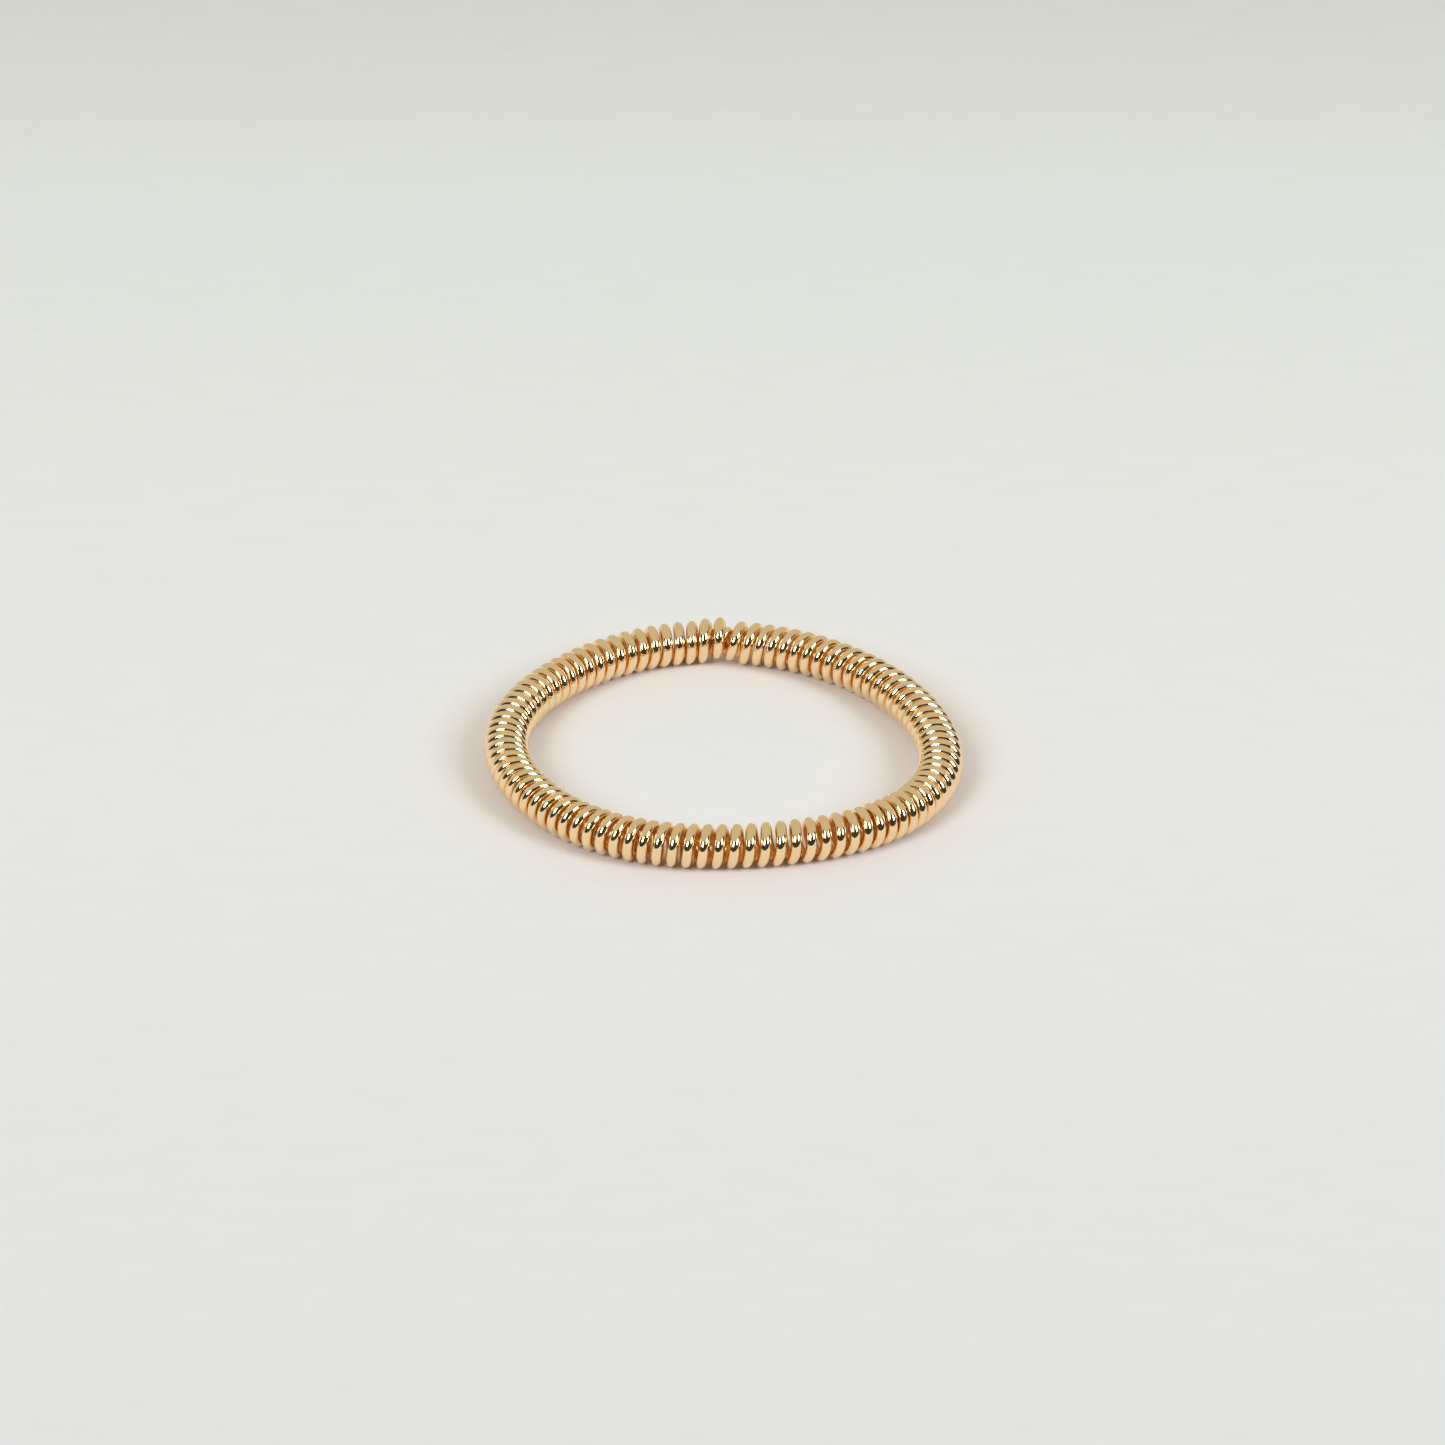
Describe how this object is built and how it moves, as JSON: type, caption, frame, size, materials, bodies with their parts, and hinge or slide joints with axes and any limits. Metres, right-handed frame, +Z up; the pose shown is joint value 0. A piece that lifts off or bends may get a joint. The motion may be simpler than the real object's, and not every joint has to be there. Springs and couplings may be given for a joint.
{
  "type": "spring coil ring",
  "caption": "Finger ring of one round gilt wire wound as a close helix and bent round into a closed ring; it squeezes, stretches and rolls, and its nib screws into its socket",
  "frame": {"origin": "on the table, under the middle of the ring's outline", "axes": "+Z is up along the ring's own axis, +Y points from the middle to the join at the back, and +X to the right seen from the front"},
  "size_m": [0.0216, 0.0212, 0.0022],
  "materials": {
    "gilt_wire": "polished gold plate"
  },
  "bodies": {
    "socket_end": {"socket_end": "gilt_wire"},
    "coil_01": {"coil_01": "gilt_wire"},
    "coil_02": {"coil_02": "gilt_wire"},
    "coil_03": {"coil_03": "gilt_wire"},
    "coil_04": {"coil_04": "gilt_wire"},
    "coil_05": {"coil_05": "gilt_wire"},
    "coil_06": {"coil_06": "gilt_wire"},
    "coil_07": {"coil_07": "gilt_wire"},
    "coil_08": {"coil_08": "gilt_wire"},
    "coil_09": {"coil_09": "gilt_wire"},
    "coil_10": {"coil_10": "gilt_wire"},
    "coil_11": {"coil_11": "gilt_wire"},
    "coil_12": {"coil_12": "gilt_wire"},
    "coil_13": {"coil_13": "gilt_wire"},
    "coil_14": {"coil_14": "gilt_wire"},
    "coil_15": {"coil_15": "gilt_wire"},
    "coil_16": {"coil_16": "gilt_wire"},
    "coil_17": {"coil_17": "gilt_wire"},
    "coil_18": {"coil_18": "gilt_wire"},
    "coil_19": {"coil_19": "gilt_wire"},
    "coil_20": {"coil_20": "gilt_wire"},
    "coil_21": {"coil_21": "gilt_wire"},
    "coil_22": {"coil_22": "gilt_wire"},
    "coil_23": {"coil_23": "gilt_wire"},
    "coil_24": {"coil_24": "gilt_wire"},
    "coil_25": {"coil_25": "gilt_wire"},
    "coil_26": {"coil_26": "gilt_wire"},
    "coil_27": {"coil_27": "gilt_wire"},
    "coil_28": {"coil_28": "gilt_wire"},
    "coil_29": {"coil_29": "gilt_wire"},
    "coil_30": {"coil_30": "gilt_wire"},
    "coil_31": {"coil_31": "gilt_wire"},
    "nib_end": {"nib_end": "gilt_wire"}
  },
  "joints": [
    {"name": "ring_squeeze", "type": "hinge", "parent": "coil_16", "child": "coil_17", "pos_m": [0.00048, -0.01037, 0.001], "axis": [0, 0, -1], "range_deg": [0, 12], "stiffness_Nm_per_rad": 0.074},
    {"name": "ring_stretch", "type": "slide", "parent": "coil_17", "child": "coil_18", "axis": [0.9786, 0.2055, 0], "range_m": [0, 0.000457], "stiffness_N_per_m": 228000},
    {"name": "flex_19", "type": "hinge", "parent": "coil_18", "child": "coil_19", "pos_m": [0.00456, -0.00959, 0.001], "axis": [0, 0, -1], "range_deg": [0, 11.79]},
    {"name": "stretch_20", "type": "slide", "parent": "coil_19", "child": "coil_20", "axis": [0.8491, 0.5282, 0], "range_m": [0, 0.0002713]},
    {"name": "stretch_21", "type": "slide", "parent": "coil_20", "child": "coil_21", "axis": [0.7072, 0.707, 0], "range_m": [0, 0.000251]},
    {"name": "flex_22", "type": "hinge", "parent": "coil_21", "child": "coil_22", "pos_m": [0.0081, -0.00513, 0.001], "axis": [0, 0, 1], "range_deg": [0, 5.3]},
    {"name": "stretch_23", "type": "slide", "parent": "coil_22", "child": "coil_23", "axis": [0.2942, 0.9557, 0], "range_m": [0, 0.0004212]},
    {"name": "flex_24", "type": "hinge", "parent": "coil_23", "child": "coil_24", "pos_m": [0.00903, -0.00206, 0.001], "axis": [0, 0, 1], "range_deg": [0, 10.34]},
    {"name": "flex_25", "type": "hinge", "parent": "coil_24", "child": "coil_25", "pos_m": [0.00897, -0.00032, 0.001], "axis": [0, 0, 1], "range_deg": [0, 13.82]},
    {"name": "stretch_26", "type": "slide", "parent": "coil_25", "child": "coil_26", "axis": [-0.2965, 0.955, 0], "range_m": [0, 0.0004831]},
    {"name": "flex_27", "type": "hinge", "parent": "coil_26", "child": "coil_27", "pos_m": [0.00791, 0.0031, 0.001], "axis": [0, 0, 1], "range_deg": [0, 15.41]},
    {"name": "stretch_28", "type": "slide", "parent": "coil_27", "child": "coil_28", "axis": [-0.5802, 0.8145, 0], "range_m": [0, 0.0002731]},
    {"name": "stretch_29", "type": "slide", "parent": "coil_28", "child": "coil_29", "axis": [-0.7095, 0.7047, 0], "range_m": [0, 0.0002695]},
    {"name": "flex_30", "type": "hinge", "parent": "coil_29", "child": "coil_30", "pos_m": [0.00543, 0.00837, 0.001], "axis": [0, 0, -1], "range_deg": [0, 6.54]},
    {"name": "stretch_31", "type": "slide", "parent": "coil_30", "child": "coil_31", "axis": [-0.9165, 0.4, 0], "range_m": [0, 0.0004892]},
    {"name": "flex_32", "type": "hinge", "parent": "coil_31", "child": "nib_end", "pos_m": [0.00169, 0.01015, 0.001], "axis": [0, 0, -1], "range_deg": [0, 15.36]},
    {"name": "flex_16", "type": "hinge", "parent": "coil_16", "child": "coil_15", "pos_m": [-0.00089, -0.01038, 0.001], "axis": [0, 0, 1], "range_deg": [0, 9.78]},
    {"name": "stretch_15", "type": "slide", "parent": "coil_15", "child": "coil_14", "axis": [-0.9653, 0.2613, 0], "range_m": [0, 0.0004207]},
    {"name": "flex_14", "type": "hinge", "parent": "coil_14", "child": "coil_13", "pos_m": [-0.00483, -0.00944, 0.001], "axis": [0, 0, 1], "range_deg": [0, 10.76]},
    {"name": "stretch_13", "type": "slide", "parent": "coil_13", "child": "coil_12", "axis": [-0.7593, 0.6507, 0], "range_m": [0, 0.000295]},
    {"name": "stretch_12", "type": "slide", "parent": "coil_12", "child": "coil_11", "axis": [-0.6137, 0.7895, 0], "range_m": [0, 0.0002903]},
    {"name": "flex_11", "type": "hinge", "parent": "coil_11", "child": "coil_10", "pos_m": [-0.00801, -0.00423, 0.001], "axis": [0, 0, -1], "range_deg": [0, 9.4]},
    {"name": "stretch_10", "type": "slide", "parent": "coil_10", "child": "coil_09", "axis": [-0.2913, 0.9566, 0], "range_m": [0, 0.000425]},
    {"name": "flex_09", "type": "hinge", "parent": "coil_09", "child": "coil_08", "pos_m": [-0.00901, -0.00093, 0.001], "axis": [0, 0, -1], "range_deg": [0, 11.68]},
    {"name": "flex_08", "type": "hinge", "parent": "coil_08", "child": "coil_07", "pos_m": [-0.00899, 0.00076, 0.001], "axis": [0, 0, -1], "range_deg": [0, 12.43]},
    {"name": "stretch_07", "type": "slide", "parent": "coil_07", "child": "coil_06", "axis": [0.3209, 0.9471, 0], "range_m": [0, 0.000458]},
    {"name": "flex_06", "type": "hinge", "parent": "coil_06", "child": "coil_05", "pos_m": [-0.0079, 0.00402, 0.001], "axis": [0, 0, -1], "range_deg": [0, 11.58]},
    {"name": "stretch_05", "type": "slide", "parent": "coil_05", "child": "coil_04", "axis": [0.6309, 0.7759, 0], "range_m": [0, 0.000253]},
    {"name": "stretch_04", "type": "slide", "parent": "coil_04", "child": "coil_03", "axis": [0.7508, 0.6605, 0], "range_m": [0, 0.0002581]},
    {"name": "flex_03", "type": "hinge", "parent": "coil_03", "child": "coil_02", "pos_m": [-0.00523, 0.00897, 0.001], "axis": [0, 0, 1], "range_deg": [0, 7.85]},
    {"name": "stretch_02", "type": "slide", "parent": "coil_02", "child": "coil_01", "axis": [0.954, 0.2999, 0], "range_m": [0, 0.0005011]},
    {"name": "flex_01", "type": "hinge", "parent": "coil_01", "child": "socket_end", "pos_m": [-0.00133, 0.01036, 0.001], "axis": [0, 0, 1], "range_deg": [0, 15.63]}
  ],
  "couplings": [
    {"joint": "flex_19", "follows": "ring_squeeze", "ratio": 0.96301},
    {"joint": "stretch_20", "follows": "ring_stretch", "ratio": 0.5818},
    {"joint": "stretch_21", "follows": "ring_stretch", "ratio": 0.53833},
    {"joint": "flex_22", "follows": "ring_squeeze", "ratio": 0.43273},
    {"joint": "stretch_23", "follows": "ring_stretch", "ratio": 0.90346},
    {"joint": "flex_24", "follows": "ring_squeeze", "ratio": 0.84428},
    {"joint": "flex_25", "follows": "ring_squeeze", "ratio": 1.129},
    {"joint": "stretch_26", "follows": "ring_stretch", "ratio": 1.0362},
    {"joint": "flex_27", "follows": "ring_squeeze", "ratio": 1.2586},
    {"joint": "stretch_28", "follows": "ring_stretch", "ratio": 0.5858},
    {"joint": "stretch_29", "follows": "ring_stretch", "ratio": 0.57803},
    {"joint": "flex_30", "follows": "ring_squeeze", "ratio": 0.53413},
    {"joint": "stretch_31", "follows": "ring_stretch", "ratio": 1.0494},
    {"joint": "flex_32", "follows": "ring_squeeze", "ratio": 1.2545},
    {"joint": "flex_16", "follows": "ring_squeeze", "ratio": 0.79887},
    {"joint": "stretch_15", "follows": "ring_stretch", "ratio": 0.90242},
    {"joint": "flex_14", "follows": "ring_squeeze", "ratio": 0.87844},
    {"joint": "stretch_13", "follows": "ring_stretch", "ratio": 0.63265},
    {"joint": "stretch_12", "follows": "ring_stretch", "ratio": 0.62276},
    {"joint": "flex_11", "follows": "ring_squeeze", "ratio": 0.76741},
    {"joint": "stretch_10", "follows": "ring_stretch", "ratio": 0.91168},
    {"joint": "flex_09", "follows": "ring_squeeze", "ratio": 0.95401},
    {"joint": "flex_08", "follows": "ring_squeeze", "ratio": 1.015},
    {"joint": "stretch_07", "follows": "ring_stretch", "ratio": 0.98239},
    {"joint": "flex_06", "follows": "ring_squeeze", "ratio": 0.94547},
    {"joint": "stretch_05", "follows": "ring_stretch", "ratio": 0.54273},
    {"joint": "stretch_04", "follows": "ring_stretch", "ratio": 0.55363},
    {"joint": "flex_03", "follows": "ring_squeeze", "ratio": 0.6408},
    {"joint": "stretch_02", "follows": "ring_stretch", "ratio": 1.0749},
    {"joint": "flex_01", "follows": "ring_squeeze", "ratio": 1.2767}
  ]
}
